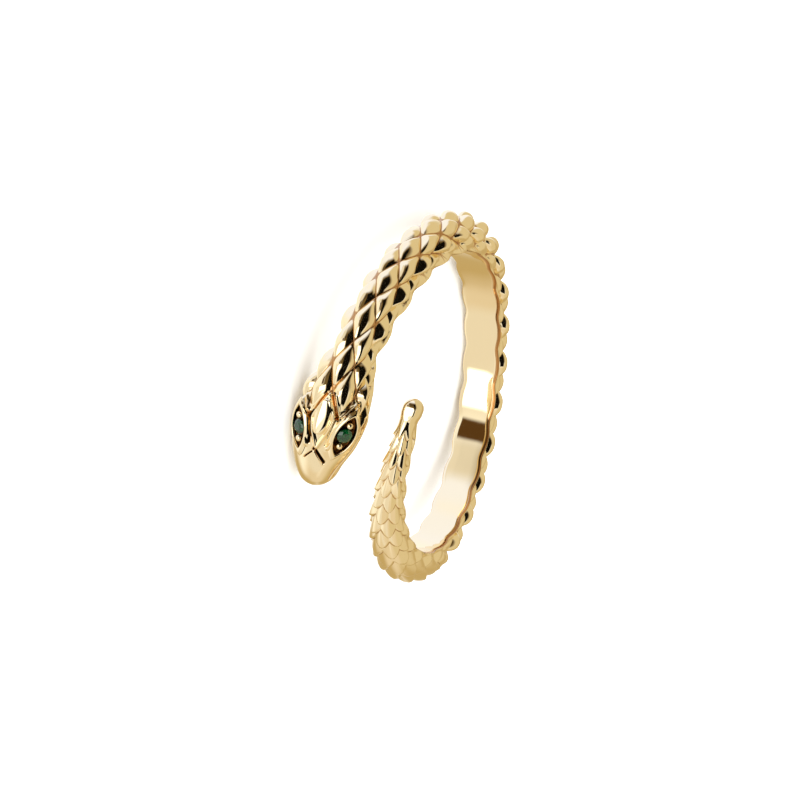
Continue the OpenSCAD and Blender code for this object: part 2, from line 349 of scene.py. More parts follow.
def head_forms(row, col):
    """Height of the leaf on the forehead and of the two panels, and the painted shade of the left panel."""
    middle, half_long, half_wide, rise, tip_up = LEAF
    along = (row - middle) / half_long
    width = half_wide * np.sqrt(np.clip(1 - along ** 2, 0, 1)) + LEAF_LEAST
    off = col / width - LEAF_CREST
    off = np.where(off < 0, -off / (1 + LEAF_CREST), off / (1 - LEAF_CREST))
    crown = rise * (1 - off ** 2) + tip_up * (1 - along)
    leaf = crown * blend(1 - off, 0.0, LEAF_SOFT[0]) * blend(1 - abs(along), 0.0, LEAF_SOFT[1])
    down = (PANEL_ROWS[0] - row) / (PANEL_ROWS[0] - PANEL_ROWS[1])
    deep, high = [a + (b - a) * down for a, b in (PANEL_DEEP, PANEL_HIGH)]
    climb = (abs(col) - deep) / (high - deep)
    drop = np.clip(1 - climb, 0, 1) * blend(climb, -PANEL_WALL, 0.0)
    ends = blend(down, -PANEL_SOFT, PANEL_SOFT) * (1 - blend(down, 1 - PANEL_SOFT, 1 + PANEL_SOFT))
    panel = drop * ends
    # only the left panel gets painted shade
    return leaf - PANEL_MM * (1 - PANEL_SHALLOW * down) * panel, panel * (col > 0)


print(len(STROKES), "strokes on the head")

# %% [markdown]
# ## The eyes
# Each eye is an almond cut into the side of the head. Its own small frame says where it is:
# z stands out of the skin and x runs along the almond. The skin is pressed in under the
# almond, and a cup of its own gives the crisp edge that a graver leaves.

# %% Places of the eyes
EYE_ROW, EYE_COL, EYE_TURN = -1.47, 1.17, 9.0  # its middle, and degrees that its front end is turned
ALMOND_L, ALMOND_W = 2.5, 1.10    # mm
SMALL_ROW, SMALL_COL = 0.1, 0.05  # small steps that find the slope of the skin
EYE_REACH = 1.0                   # points farther from the skin than this aren't near the eye, mm
SIDES = {"right": -1, "left": 1}


def eye_frame(side):
    """Middle of an almond and its three directions: along it, across it and out of the skin."""
    here, step = np.array([EYE_ROW]), np.array([EYE_ROW + SMALL_ROW])
    centre = skin(here, side * EYE_COL)[0]
    x = skin(step, side * EYE_COL)[0] - centre
    y = skin(here, side * EYE_COL + SMALL_COL * side)[0] - centre
    x = x / np.linalg.norm(x)
    z = np.cross(x, y) * side
    z = z / np.linalg.norm(z)
    y = np.cross(z, x)
    turn = math.radians(side * EYE_TURN)
    along = x * math.cos(turn) + y * math.sin(turn)
    return centre, along, np.cross(z, along), z


def almond_share(points, side):
    """0 at the middle of the almond and 1 on its edge, for points near the eye."""
    centre, x, y, z = eye_frame(side)
    local = points - centre
    long, wide = local @ x, abs(local @ y)
    lens_r = (ALMOND_L ** 2 + ALMOND_W ** 2) / (4 * ALMOND_W)
    edge = np.hypot(long, wide + lens_r - ALMOND_W / 2) - lens_r
    share = 1 + edge / (ALMOND_W / 2)
    return np.where(abs(local @ z) < EYE_REACH, share, FAR)


for name, side in SIDES.items():
    print(name, "eye at", lay_down(eye_frame(side)[0]).round(4).tolist())

# %% [markdown]
# ## The skin of the whole snake
# The height of the skin over its plain outline is now one function: scales behind the head
# and along the body, marks on the head, and the two eye hollows. Four more numbers go with
# each point, and the gold's finish uses them later: the two counts of the grooves, how
# scaly the place is and how much painted shade its hollow gets.

# %% Height of the skin
PLATE_ENDS, PLATE_LAST = (-0.12, 0.02), 3  # counts of the grooves where a plate ends, and its last row
BROW_HALF, BROW_SOFT = (0.95, 0.85), (0.0, 0.3)  # half a brow in rows and columns, and its soft edge
START_ROWS = (-1.7, -0.6)  # over these rows of the head the scales begin
SIDE_FADE = (3.05, 3.25)   # over these columns they end
SIDE_DEEPER, DEEPER_COLS = 1.0, (1.0, 2.3)   # the sides of the neck have deeper grooves
BACK_DEEPER, BACK_ENDS = 0.65, (35.0, 44.0)  # so has the back of the ring, up to the tail
SCALLOP, SCALLOP_COLS = (0.24, 0.14), (2.0, 2.7)  # notches in the edges of the neck and the back, mm
NOTCH_POWER = 1.5          # a higher power makes a notch narrower
NOTCH_FROM, NOTCH_TO = (0.5, 2.0), (49.0, 51.0)   # rows over which the notches begin and end
BEAD_AT, BEAD_HALF, BEAD_MM = (52.85, -0.08), (0.70, 0.85), 0.075  # middle, half size, depth of its flat
EYE_PRESS, PRESS_ENDS = 0.45, (0.92, 1.22)   # depth of an eye hollow, mm, and the shares where it ends
MARKS_END = 0.5            # no mark of the head lies behind this row
MARK_SHADE, PANEL_SHADE = 0.12, 1.3  # a mark this deep gets dark painted shade, mm, and so does most of the panel
FOOT_SHADE, LOW_NECK, LOW_TAIL = 0.60, (0.74, 1.0), (0.50, 0.85)  # painted shade, warm and darker, at the foot of a scale
LINE_GAP, LINE_DROP = (0.3, 1.0), 0.4  # no graver lines or their painted shade where the scales change, fainter ones behind


def notch_mm(row):
    """Depth of the notches in the edge: full between two scales and 0 at their middles."""
    wave = (0.5 + 0.5 * np.cos(math.pi * np.asarray(row, float))) ** NOTCH_POWER
    full = SCALLOP[0] + (SCALLOP[1] - SCALLOP[0]) * blend(row, *ROUND_ROWS)
    return full * wave * blend(row, *NOTCH_FROM) * (1 - blend(row, *NOTCH_TO))


def scale_share(row, col):
    """1 where the skin is scaly, and 0 on the plates, the brows, the side walls and the bead."""
    u, v = lattice(row, col)
    plates = (1 - blend(u, *PLATE_ENDS)) * (1 - blend(v, *PLATE_ENDS)) * (row < PLATE_LAST)
    brow = np.hypot((row - EYE_ROW) / BROW_HALF[0], (abs(col) - EYE_COL) / BROW_HALF[1])
    share = (1 - plates) * (1 - blend(np.maximum(0, 1 - brow), *BROW_SOFT))
    share = share * (1 - blend(abs(col), *SIDE_FADE))
    return share * smooth_at(RELIEF, row) * blend(row, *START_ROWS)


def skin_height(row, col):
    """Height over the plain outline in mm, and the four numbers that the finish uses."""
    scales, low = scale_share(row, col), 1 - scale_height(row, col)
    edge_on = blend(abs(col), *DEEPER_COLS) * (1 - blend(row, *ROUND_ROWS))
    back = BACK_DEEPER * blend(row, *ROUND_ROWS) * (1 - blend(row, *BACK_ENDS))
    deep = GROOVE * (1 + SIDE_DEEPER * edge_on + back) * scales * low
    from_bead = [(value - at) / half for value, at, half in zip((row, col), BEAD_AT, BEAD_HALF)]
    flat = np.clip(1 - from_bead[0] ** 2 - from_bead[1] ** 2, 0, 1)
    height = -deep - BEAD_MM * flat - notch_mm(row) * blend(abs(col), *SCALLOP_COLS)
    near = row < MARKS_END
    marks = np.where(near, head_marks(row, col), 0)
    forms, shade = [np.where(near, part, 0) for part in head_forms(row, col)]
    on_tail = row > TONGUE_MIDDLE
    start, end = [np.where(on_tail, tail, neck) for tail, neck in zip(LOW_TAIL, LOW_NECK)]
    # painted shade at the foot of each scale, deeper where the skin lies lower
    foot_shade = FOOT_SHADE * scales * blend(low, start, end)
    # the punched marks and the left panel get painted shade too; the strongest of the three is kept
    hollow_shade = np.maximum(np.maximum(-marks / MARK_SHADE, PANEL_SHADE * shade), foot_shade)
    counts = [np.where(on_tail, tongue(row, col, odd)[0], plain)
              for odd, plain in enumerate(lattice(row, col))]
    lines = scales * blend(abs(row - TONGUE_MIDDLE), *LINE_GAP) * (1 - LINE_DROP * on_tail)
    return height + marks + forms, np.stack(counts + [np.clip(lines, 0, 1), np.clip(hollow_shade, 0, 1)], -1)


def skin_points(row, col):
    """Points of the skin in the upright ring, pressed in at the eyes."""
    row, col = np.broadcast_arrays(np.asarray(row, float), np.asarray(col, float))
    height, notes = skin_height(row, col)
    points = skin(row, col, height * fill_at(row))
    for side in SIDES.values():
        share = almond_share(points, side)
        press = EYE_PRESS * (1 - blend(share, *PRESS_ENDS))
        points = points - press[..., None] * eye_frame(side)[3]
    return points, notes


print("grooves are", GROOVE, "mm deep")

# %% [markdown]
# ## The mesh
# The skin becomes rings of points, from the snout to the tip of the tail. On the body the
# steps follow the lattice, so every groove runs along edges of the mesh and stays sharp.
# The head needs finer rings. Under the skin each ring goes down a plain side wall, turns
# over a small bevel and crosses the smooth finger hole.

# %% Rings of points
ROW_PARTS = 12             # steps of the mesh from one row to the next on the body
BODY_STEP, HEAD_STEP, TAIL_STEP = 1 / ROW_PARTS, 1 / 40, 0.05
HEAD_END, BODY_END = 1, 52  # rows at which the finer steps of the head and the tail meet the body's
HALF_COLS = 39             # steps from the middle of the back to the edge of the skin
COL_LAST = HALF_COLS * BODY_STEP
FINE_COLS, FINE_PARTS = 2.3, 3  # up to this column a fine ring has three columns where a plain one has one
TIP_LENGTH = 0.5           # rows at both ends whose steps get shorter toward the end
TIP_STEPS = [0.0008, 0.004, 0.01, 0.02, 0.035, 0.055, 0.08, 0.11,
             0.145, 0.185, 0.23, 0.28, 0.335, 0.39, 0.445]
WALL_AT, BEVEL_AT = (0.99, 0.45), (0.955, 0.0)  # shares of the edge's width and height
LEAST_HALF = 0.3           # a notch is a share of the half width, which counts as this much at least, mm
BORE_SHARES = [0, 0.035, 0.075, 0.12, 0.3, 0.5, 0.7, 0.88, 0.925, 0.965, 1]  # across the finger hole
UNDER_COUNT = len(BORE_SHARES) + 2
EDGE_LIFT, EDGE_FROM = 0.9, 0.78    # the edges of the finger hole curve away from the finger
EDGE_SHADE, SOFT_SHADE = 0.64, 0.48   # and get warm painted shade, like shallow hollows, the far one a little less
EDGE_POINTS, SOFT_POINTS = [-1, -2, -3], [0, 1, -4]  # points of the under side with this painted shade


def columns(fine):
    """Columns of one ring, from one edge of the skin to the other."""
    plain = np.arange(-HALF_COLS, HALF_COLS + 1) * BODY_STEP
    if not fine:
        return plain
    parts = []
    for a, b in zip(plain[:-1], plain[1:]):
        count = FINE_PARTS if abs(a + b) / 2 < FINE_COLS else 1
        parts.append(np.linspace(a, b, count + 1)[:-1])
    return np.append(np.concatenate(parts), plain[-1])


def under_side(row):
    """The rest of the ring: bevel, finger hole and bevel, from the far edge to the near."""
    edges, _ = section(row, np.array([COL_LAST, -COL_LAST]))
    base = smooth_at(THICK, row) * LEVEL_SHARE * (1 - fill_at(row))
    cut = 1 - notch_mm(row) / max(abs(edges[0, 0]), LEAST_HALF)

    def sink(edge, across, up):
        return np.array([edge[0] * across * cut, base + (edge[1] - base) * up])

    far, near = [sink(edge, *BEVEL_AT) for edge in edges]
    lifts = [EDGE_LIFT * max(0, abs(2 * k - 1) - EDGE_FROM) ** 2 for k in BORE_SHARES]
    bore = [far + (near - far) * k + np.array([0, lift]) for k, lift in zip(BORE_SHARES, lifts)]
    flat = np.array([sink(edges[0], *WALL_AT)] + bore + [sink(edges[1], *WALL_AT)])
    lean = float(lean_at(np.array(row)))
    dip = np.sqrt(FINGER_R ** 2 - (flat[1:-1, 0] * math.sin(lean)) ** 2) - FINGER_R
    flat[1:-1, 1] += dip
    return place(np.full(len(flat), row), flat)


head_rows = list(np.arange(ROW_SNOUT + TIP_LENGTH, HEAD_END - HEAD_STEP / 2, HEAD_STEP))
head_rows = [ROW_SNOUT + d for d in TIP_STEPS] + head_rows
body_rows = list(np.arange(HEAD_END * ROW_PARTS, BODY_END * ROW_PARTS + 1) * BODY_STEP)
tail_rows = list(np.arange(BODY_END + TAIL_STEP, ROW_TIP - TIP_LENGTH, TAIL_STEP))
tail_rows = tail_rows + [ROW_TIP - d for d in reversed(TIP_STEPS)]
rings = [(r, True) for r in head_rows] + [(r, False) for r in body_rows + tail_rows]
print(len(rings), "rings;", len(columns(True)), "columns on the head,", len(columns(False)), "on the body")

# %% Points and faces of the skin
FINE, PLAIN = columns(True), columns(False)


def ring_points(row, fine):
    """One whole ring of points, and four numbers for each of them."""
    top, notes = skin_points(row, FINE if fine else PLAIN)
    low = under_side(row)
    low_notes = np.zeros((len(low), 4))
    # painted shade along the edges of the finger hole
    low_notes[EDGE_POINTS, 3] = EDGE_SHADE
    low_notes[SOFT_POINTS, 3] = SOFT_SHADE
    return np.vstack([top, low]), np.vstack([notes, low_notes])


def matching_faces(a, b, row_a, row_b, cols, around):
    """Two triangles a cell, split along the nearest groove."""
    k = np.arange(around)
    n = (k + 1) % around
    faces = np.empty((around, 2, 3), int)
    faces[:, 0] = np.stack([a + k, a + n, b + n], 1)
    faces[:, 1] = np.stack([a + k, b + n, b + k], 1)
    mid = (cols[:-1] + cols[1:]) / 2
    u, v = lattice(np.array((row_a + row_b) / 2), mid)
    other = np.flatnonzero(abs(u % 1 - 0.5) > abs(v % 1 - 0.5))
    faces[other, 0] = np.stack([a + other, a + n[other], b + other], 1)
    faces[other, 1] = np.stack([a + n[other], b + n[other], b + other], 1)
    return faces.reshape(-1, 3)


def zip_faces(a, b, cols_a, cols_b):
    """Joins a fine ring to a plain one: the ring whose next point is nearer moves on."""
    under = [FAR + k for k in range(UNDER_COUNT)]
    key_a, key_b = list(cols_a) + under, list(cols_b) + under
    faces, i, j = [], 0, 0
    while i < len(key_a) - 1 or j < len(key_b) - 1:
        if j == len(key_b) - 1 or (i < len(key_a) - 1 and key_a[i + 1] <= key_b[j + 1]):
            faces.append((a + i, a + i + 1, b + j))
            i += 1
        else:
            faces.append((a + i, b + j + 1, b + j))
            j += 1
    faces.append((a + i, a, b + j))
    faces.append((a, b, b + j))
    return np.array(faces)


points, notes, faces, start = [], [], [], 0
last = None
for row, fine in rings:
    ring, ring_notes = ring_points(row, fine)
    if last is not None:
        begin, old_row, old_fine, count = last
        if old_fine == fine:
            faces.append(matching_faces(begin, start, old_row, row, FINE if fine else PLAIN, count))
        else:
            faces.append(zip_faces(begin, start, FINE, PLAIN))
    last = (start, row, fine, len(ring))
    points.append(ring)
    notes.append(ring_notes)
    start += len(ring)
points, notes, faces = np.vstack(points), np.vstack(notes), np.vstack(faces)
print(len(points), "points,", len(faces), "triangles")

# %% The snake as an object
def mesh_object(name, points, faces):
    """A mesh object from points already on the floor, in metres."""
    mesh = bpy.data.meshes.new(name)
    mesh.from_pydata([tuple(p) for p in points], [], [tuple(f) for f in faces])
    mesh.validate()
    mesh.update()
    mesh.shade_smooth()
    obj = bpy.data.objects.new(name, mesh)
    bpy.context.scene.collection.objects.link(obj)
    return obj


first_count = len(FINE) + UNDER_COUNT
last_count = len(PLAIN) + UNDER_COUNT
caps = [list(range(first_count)), list(range(len(points) - last_count, len(points)))[::-1]]
outward_faces = faces[:, ::-1].tolist() + caps
snake = mesh_object("snake_skin", lay_down(points), outward_faces)
for column, name in enumerate(("lattice_u", "lattice_v", "scaly", "hollow_shade")):
    note = snake.data.attributes.new(name, "FLOAT", "POINT")
    note.data.foreach_set("value", np.ascontiguousarray(notes[:, column], np.float32))
size = [round(float(s) / MM, 2) for s in snake.dimensions]
print("snake_skin:", size, "mm")

# %% [markdown]
# ## The eye cups
# A cup is a stack of almonds, one inside the other: out on the skin, up over a low lip,
# down a short wall and across the floor to the seat of the stone. Rows of matching points
# are easy to join, and the crisp lip is two almonds that lie close together.

# %% Almond cups
CUP = [
    # share of the almond, height over the skin in mm
    (1.34, -0.14), (1.22, -0.02), (1.14, 0.025), (1.08, 0.035), (1.03, 0.02), (1.0, -0.02),
    (0.985, -0.10), (0.97, -0.20), (0.93, -0.225), (0.6, -0.225), (0.3, -0.3),
]
CUP_POINTS = 96
CUP_SHADED = 6   # the first of its bands that gets the painted shade of the recess


def almond(share):
    """Points round a pointed oval whose two arcs meet at its ends."""
    half_l, half_w = ALMOND_L / 2, ALMOND_W / 2
    lens_r = (half_l ** 2 + half_w ** 2) / (2 * half_w)
    sweep = math.asin(half_l / lens_r)
    turn = np.linspace(-sweep, sweep, CUP_POINTS // 2 + 1)[:-1]
    top = np.stack([lens_r * np.sin(turn), lens_r * np.cos(turn) - (lens_r - half_w)], 1)
    edge = np.vstack([top, -top])
    return edge * share


def cup_points(side):
    """Points of one cup, level by level, in the upright ring."""
    centre, x, y, z = eye_frame(side)
    levels = []
    for share, height in CUP:
        flat = almond(share)
        levels.append(centre + flat[:, :1] * x + flat[:, 1:] * y + height * z)
    return np.vstack(levels)


def cup_faces():
    """Bands of four-sided faces between the levels, and a floor."""
    grid = []
    for level in range(len(CUP) - 1):
        for k in range(CUP_POINTS):
            n = (k + 1) % CUP_POINTS
            a, b = level * CUP_POINTS, (level + 1) * CUP_POINTS
            grid.append((a + k, a + n, b + n, b + k))
    grid.append(tuple((len(CUP) - 1) * CUP_POINTS + k for k in range(CUP_POINTS)))
    return grid


cups = {}
for name, side in SIDES.items():
    cups[name] = mesh_object("eye_cup_" + name, lay_down(cup_points(side)), cup_faces())
print("cups:", [cup.name for cup in cups.values()])

# %% [markdown]
# ## The grains
# A setter raises a little metal with a graver at both ends of the stone and rounds it to a
# bead with a hollow punch. Each grain here is a ball made of rings of points, pressed a
# little flatter and sunk into the floor of the cup.

# %% Grains
STONE_R, STONE_GAP = 0.43, 0.025  # half the stone, and the gap between it and a grain, mm
GRAIN_R, GRAIN_SINK, GRAIN_FLAT = 0.2, 0.08, 0.94  # the tool leaves a grain a little flat
GRAIN_AT = STONE_R + GRAIN_R + STONE_GAP
GRAIN_SIDES, GRAIN_RINGS = 32, 15


def grain(name, side, end):
    """A bead raised from the floor of a cup, before the stone or behind it."""
    centre, x, y, z = eye_frame(side)
    turns = np.linspace(0, 2 * math.pi, GRAIN_SIDES + 1)[:-1]
    tilts = np.linspace(0, math.pi, GRAIN_RINGS + 2)[1:-1]
    ball = [(math.sin(t) * math.cos(a), math.sin(t) * math.sin(a), math.cos(t))
            for t in tilts for a in turns]
    ball = np.array([(0, 0, 1)] + ball + [(0, 0, -1)]) * GRAIN_R
    middle = centre + end * GRAIN_AT * x - GRAIN_SINK * z
    dots = middle + ball[:, :1] * x + ball[:, 1:2] * y + ball[:, 2:] * GRAIN_FLAT * z

    def dot(ring, k):
        return 1 + ring * GRAIN_SIDES + k % GRAIN_SIDES

    sides, last = range(GRAIN_SIDES), GRAIN_RINGS - 1
    faces = [(0, dot(0, k), dot(0, k + 1)) for k in sides]
    faces += [(dot(r, k), dot(r + 1, k), dot(r + 1, k + 1), dot(r, k + 1))
              for r in range(last) for k in sides]
    faces += [(len(dots) - 1, dot(last, k + 1), dot(last, k)) for k in sides]
    return mesh_object(name, lay_down(dots), faces)


grains = [grain(f"grain_{name}_{spot}", side, end)
          for name, side in SIDES.items() for spot, end in (("front", -1), ("back", 1))]
print(len(grains), "grains")

# %% [markdown]
# ## Finishes
# Yellow gold of about 14 karat is gold with silver and copper. Polished, it has no colour
# of its own beyond its tinted mirror, so what the eye reads as gold is the studio in it.
# A real polish still leaves a faint haze and slow waves from the casting. The grooves,
# where the gold mirrors itself, get a deeper tone as painted shade. The four numbers that
# go with each point of the skin tell the finish where those places are.

# %% Helpers for finishes
def linear(hex_code):
    """An sRGB hex value as linear light."""
    parts = [int(hex_code[i:i + 2], 16) / 255 for i in (1, 3, 5)]
    return [p / 12.92 if p <= 0.04045 else ((p + 0.055) / 1.055) ** 2.4 for p in parts] + [1.0]


def add(tree, kind, settings=None, links=None):
    """One node with its settings, fed by the sockets named in links."""
    node = tree.nodes.new(kind)
    for key, value in (settings or {}).items():
        if isinstance(key, str) and hasattr(node, key):
            setattr(node, key, value)
        else:
            node.inputs[key].default_value = value
    for key, socket in (links or {}).items():
        tree.links.new(socket, node.inputs[key])
    return node


def new_finish(name):
    """A material with an empty tree of nodes."""
    finish = bpy.data.materials.new(name)
    finish.use_nodes = True
    tree = finish.node_tree
    tree.nodes.clear()
    return finish, tree


GOLD = "#F9E6BC"  # the tint of its mirror
print("gold is", [round(v, 3) for v in linear(GOLD)])

# %% Polished yellow gold
# to the eye: a warm mirror with sharp white and black patches, with amber painted shade at the foot of a
# scale
GOLD_FOOT_SHADE, GOLD_PIT_SHADE = "#A86A1E", "#1E1004"  # painted shade low in a groove and deep in a pit
WAVE_MM, WAVE_HIGH = 2.2, 0.02  # length and height of the slow waves left by casting and polishing
HAZE_MM = 0.25   # size of the patches where the polish is a little softer
CUT_MM = 0.07    # half the width of the line that a graver leaves in each groove
CUT_DEEP, CUT_SHADE = 0.2, 0.5  # depth of that line as a share of it, and how dark its painted shade is
CELL_MM = 1.55   # from one groove to the next
SHADE_FROM = 0.35  # shallower hollows get no painted shade

gold, tree = new_finish("polished_yellow_gold")
place_node = add(tree, "ShaderNodeTexCoord")
haze = add(tree, "ShaderNodeTexNoise", {"Scale": 1 / (HAZE_MM * MM), "Detail": 3.0},
           {"Vector": place_node.outputs["Object"]})
rough = add(tree, "ShaderNodeMapRange", {"From Min": 0.3, "From Max": 0.7, "To Min": 0.02, "To Max": 0.06},
            {"Value": haze.outputs["Fac"]})
wave = add(tree, "ShaderNodeTexNoise", {"Scale": 1 / (WAVE_MM * MM), "Detail": 1.0},
           {"Vector": place_node.outputs["Object"]})
ripple = add(tree, "ShaderNodeBump", {"Strength": 0.5, "Distance": WAVE_HIGH * MM},
             {"Height": wave.outputs["Fac"]})
folded = []
for name in ("lattice_u", "lattice_v"):
    count = add(tree, "ShaderNodeAttribute", {"attribute_name": name})
    folded.append(add(tree, "ShaderNodeMath", {"operation": "PINGPONG", 1: 0.5},
                      {0: count.outputs["Fac"]}).outputs["Value"])
nearest = add(tree, "ShaderNodeMath", {"operation": "MINIMUM"}, {0: folded[0], 1: folded[1]})
cut = add(tree, "ShaderNodeMapRange",
          {"interpolation_type": "SMOOTHSTEP", "From Min": 0.0, "From Max": CUT_MM / CELL_MM,
           "To Min": -1.0, "To Max": 0.0},
          {"Value": nearest.outputs["Value"]})
scaly = add(tree, "ShaderNodeAttribute", {"attribute_name": "scaly"})
line = add(tree, "ShaderNodeMath", {"operation": "MULTIPLY"},
           {0: cut.outputs["Result"], 1: scaly.outputs["Fac"]})
graver = add(tree, "ShaderNodeBump", {"Strength": 1.0, "Distance": CUT_DEEP * CUT_MM * MM},
             {"Height": line.outputs["Value"], "Normal": ripple.outputs["Normal"]})
shade_note = add(tree, "ShaderNodeAttribute", {"attribute_name": "hollow_shade"})
shade_share = add(tree, "ShaderNodeMapRange", {"From Min": SHADE_FROM, "From Max": 1.0, "To Min": 0.0, "To Max": 1.0},
          {"Value": shade_note.outputs["Fac"]})
# the graver line is a real cut, and its darker colour is painted shade
line_shade = add(tree, "ShaderNodeMath", {"operation": "MULTIPLY", 1: -CUT_SHADE},
                {0: line.outputs["Value"]})
shade_total = add(tree, "ShaderNodeMath", {"operation": "MAXIMUM"},
             {0: shade_share.outputs["Result"], 1: line_shade.outputs["Value"]})
# painted shade: the plain tint turns amber and then near black
shaded_gold = add(tree, "ShaderNodeValToRGB", links={"Fac": shade_total.outputs["Value"]})
shaded_gold.color_ramp.elements[0].color = linear(GOLD)
shaded_gold.color_ramp.elements[1].color = linear(GOLD_PIT_SHADE)
shaded_gold.color_ramp.elements.new(0.5).color = linear(GOLD_FOOT_SHADE)
shine = add(tree, "ShaderNodeBsdfPrincipled", {"Metallic": 1.0},
            {"Base Color": shaded_gold.outputs["Color"], "Roughness": rough.outputs["Result"],
             "Normal": graver.outputs["Normal"]})
add(tree, "ShaderNodeOutputMaterial", links={"Surface": shine.outputs["BSDF"]})
print("made", gold.name)

# %% [markdown]
# ## The recess and the stones
# The floor of a cup gets painted shade in dark browns. Patches of two browns are enough,
# because it shows only as a dark rim round the stone. The stones are the CAD's own facets
# with an emerald's finish: part glass and part dark green body, which shows clouds and
# needles at this size better than clear glass does.

# %% Painted shade in the recess round the stones
# to the eye: a soft brown painted shadow without a mirror
SHADE_PATCH_MM = 0.15  # size of the patches of painted shade
recess_shade, tree = new_finish("recess_painted_shade")
place_node = add(tree, "ShaderNodeTexCoord")
shade_patches = add(tree, "ShaderNodeTexNoise", {"Scale": 1 / (SHADE_PATCH_MM * MM), "Detail": 4.0},
            {"Vector": place_node.outputs["Object"]})
tint = add(tree, "ShaderNodeValToRGB", links={"Fac": shade_patches.outputs["Fac"]})
tint.color_ramp.elements[0].position = 0.35
tint.color_ramp.elements[0].color = linear("#1E0F06")
tint.color_ramp.elements[1].position = 0.75
tint.color_ramp.elements[1].color = linear("#7A4A1C")
seat = add(tree, "ShaderNodeBsdfPrincipled", {"Metallic": 1.0, "Roughness": 0.3},
           {"Base Color": tint.outputs["Color"]})
add(tree, "ShaderNodeOutputMaterial", links={"Surface": seat.outputs["BSDF"]})
print("made", recess_shade.name)

# %% Green emerald
# to the eye: a dark clear green in which one or two facets flash
CLOUD_MM, NEEDLE_MM = 0.22, 0.06  # clouds and fine needles inside the stone
emerald, tree = new_finish("green_emerald")
place_node = add(tree, "ShaderNodeTexCoord")
cloud = add(tree, "ShaderNodeTexNoise", {"Scale": 1 / (CLOUD_MM * MM), "Detail": 4.0, "Distortion": 0.8},
            {"Vector": place_node.outputs["Object"]})
needles = add(tree, "ShaderNodeTexNoise", {"Scale": 1 / (NEEDLE_MM * MM), "Detail": 2.0},
              {"Vector": place_node.outputs["Object"]})
garden = add(tree, "ShaderNodeMath", {"operation": "MULTIPLY_ADD", 1: 0.35},
             {0: needles.outputs["Fac"], 2: cloud.outputs["Fac"]})
green = add(tree, "ShaderNodeValToRGB", links={"Fac": garden.outputs["Value"]})
green.color_ramp.elements[0].position = 0.52
green.color_ramp.elements[0].color = linear("#01120A")
green.color_ramp.elements[1].position = 0.92
green.color_ramp.elements[1].color = linear("#10662F")
gem = add(tree, "ShaderNodeBsdfPrincipled",
          {"Roughness": 0.015, "IOR": 1.58, "Transmission Weight": 0.55, "Specular IOR Level": 0.75},
          {"Base Color": green.outputs["Color"]})
add(tree, "ShaderNodeOutputMaterial", links={"Surface": gem.outputs["BSDF"]})
print("made", emerald.name)

# %% Put the finishes on
for piece in [snake] + list(cups.values()) + grains:
    piece.data.materials.append(gold)
# the walls and floor of each cup get the painted shade of the recess
for cup in cups.values():
    cup.data.materials.append(recess_shade)
    for face in cup.data.polygons[CUP_SHADED * CUP_POINTS:]:
        face.material_index = 1
for node in ("eye_stone_right", "eye_stone_left"):
    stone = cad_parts[node]
    stone.data.materials.clear()
    stone.data.materials.append(emerald)
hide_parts("snake_band")
for piece in [snake] + list(cups.values()) + grains:
    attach(piece, "root")
print("the fine skin stands for the band")

# %% [markdown]
# ## The table
# A jeweller's picture is made of what the metal mirrors, so the table stays out of it: the
# ring lies on plain white card, large enough that no edge of it shows.

# %% The table
# to the eye: even white without a shine
floor_mesh = bpy.data.meshes.new("table")
reach = 1.5  # m
floor_mesh.from_pydata([(-reach, -reach, 0), (reach, -reach, 0), (reach, reach, 0), (-reach, reach, 0)],
                       [], [(0, 1, 2, 3)])
floor = bpy.data.objects.new("table", floor_mesh)
bpy.context.scene.collection.objects.link(floor)
paper, tree = new_finish("white_paper")
sheet = add(tree, "ShaderNodeBsdfPrincipled", {"Base Color": linear("#FAFAF8"), "Roughness": 0.9})
add(tree, "ShaderNodeOutputMaterial", links={"Surface": sheet.outputs["BSDF"]})
floor.data.materials.append(paper)
print("the table is", 2 * reach, "m across")

# %% [markdown]
# ## The camera
# The camera was fitted to the ring while it stood upright: it looks a little from above the
# square view of the front, and is turned about its own axis. It is then laid down together
# with the ring, so both keep their places to each other.

# %% The camera
RISE, ROLL = 18.0, 13.21             # degrees above the square view and about the camera's axis
VIEW_MM, PX_PER_MM = 300.0, 17.8     # distance, and size of the picture
FRAME_PX, LOOK_PX = 800, (426.36, 396.91)  # the frame, and where the middle of the ring lies in it
rise, roll = math.radians(RISE), math.radians(ROLL)
to_eye = Vector((0, -math.cos(rise), math.sin(rise)))
side_way = Vector((0, math.sin(rise), math.cos(rise)))
top_way = Vector((-1, 0, 0))
right = side_way * math.cos(roll) + top_way * math.sin(roll)
above = -side_way * math.sin(roll) + top_way * math.cos(roll)
spot = (to_eye * VIEW_MM - right * (LOOK_PX[0] - FRAME_PX / 2) / PX_PER_MM
        + above * (LOOK_PX[1] - FRAME_PX / 2) / PX_PER_MM)
pose = Matrix((right, above, to_eye)).transposed().to_4x4()
pose.translation = spot
pose = rest @ pose
pose.translation = pose.translation * MM
lens = bpy.data.cameras.new("camera")
lens.sensor_width = 36.0
lens.lens = PX_PER_MM * VIEW_MM / FRAME_PX * lens.sensor_width
lens.clip_start, lens.clip_end = 0.01, 10.0
camera = bpy.data.objects.new("camera", lens)
camera.matrix_world = pose
bpy.context.scene.collection.objects.link(camera)
bpy.context.scene.camera = camera
look = (rest.to_3x3() @ to_eye).normalized()
print("the camera looks down", round(math.degrees(math.asin(look.z)), 1), "degrees")

# %% [markdown]
# ## The room
# The room is described as a photographer lays it out: cards round the ring, each placed by
# its angles to the right of the camera's axis and above it. A bright box on the left gives
# the white flashes, a black card on the right gives the crisp black, and warm cards keep
# the gold from going pale. Each card is laid over the ones before it. Only mirror rays see
# the cards: all others see one plain white light, which keeps the table white, and the
# table is hidden from mirror rays.

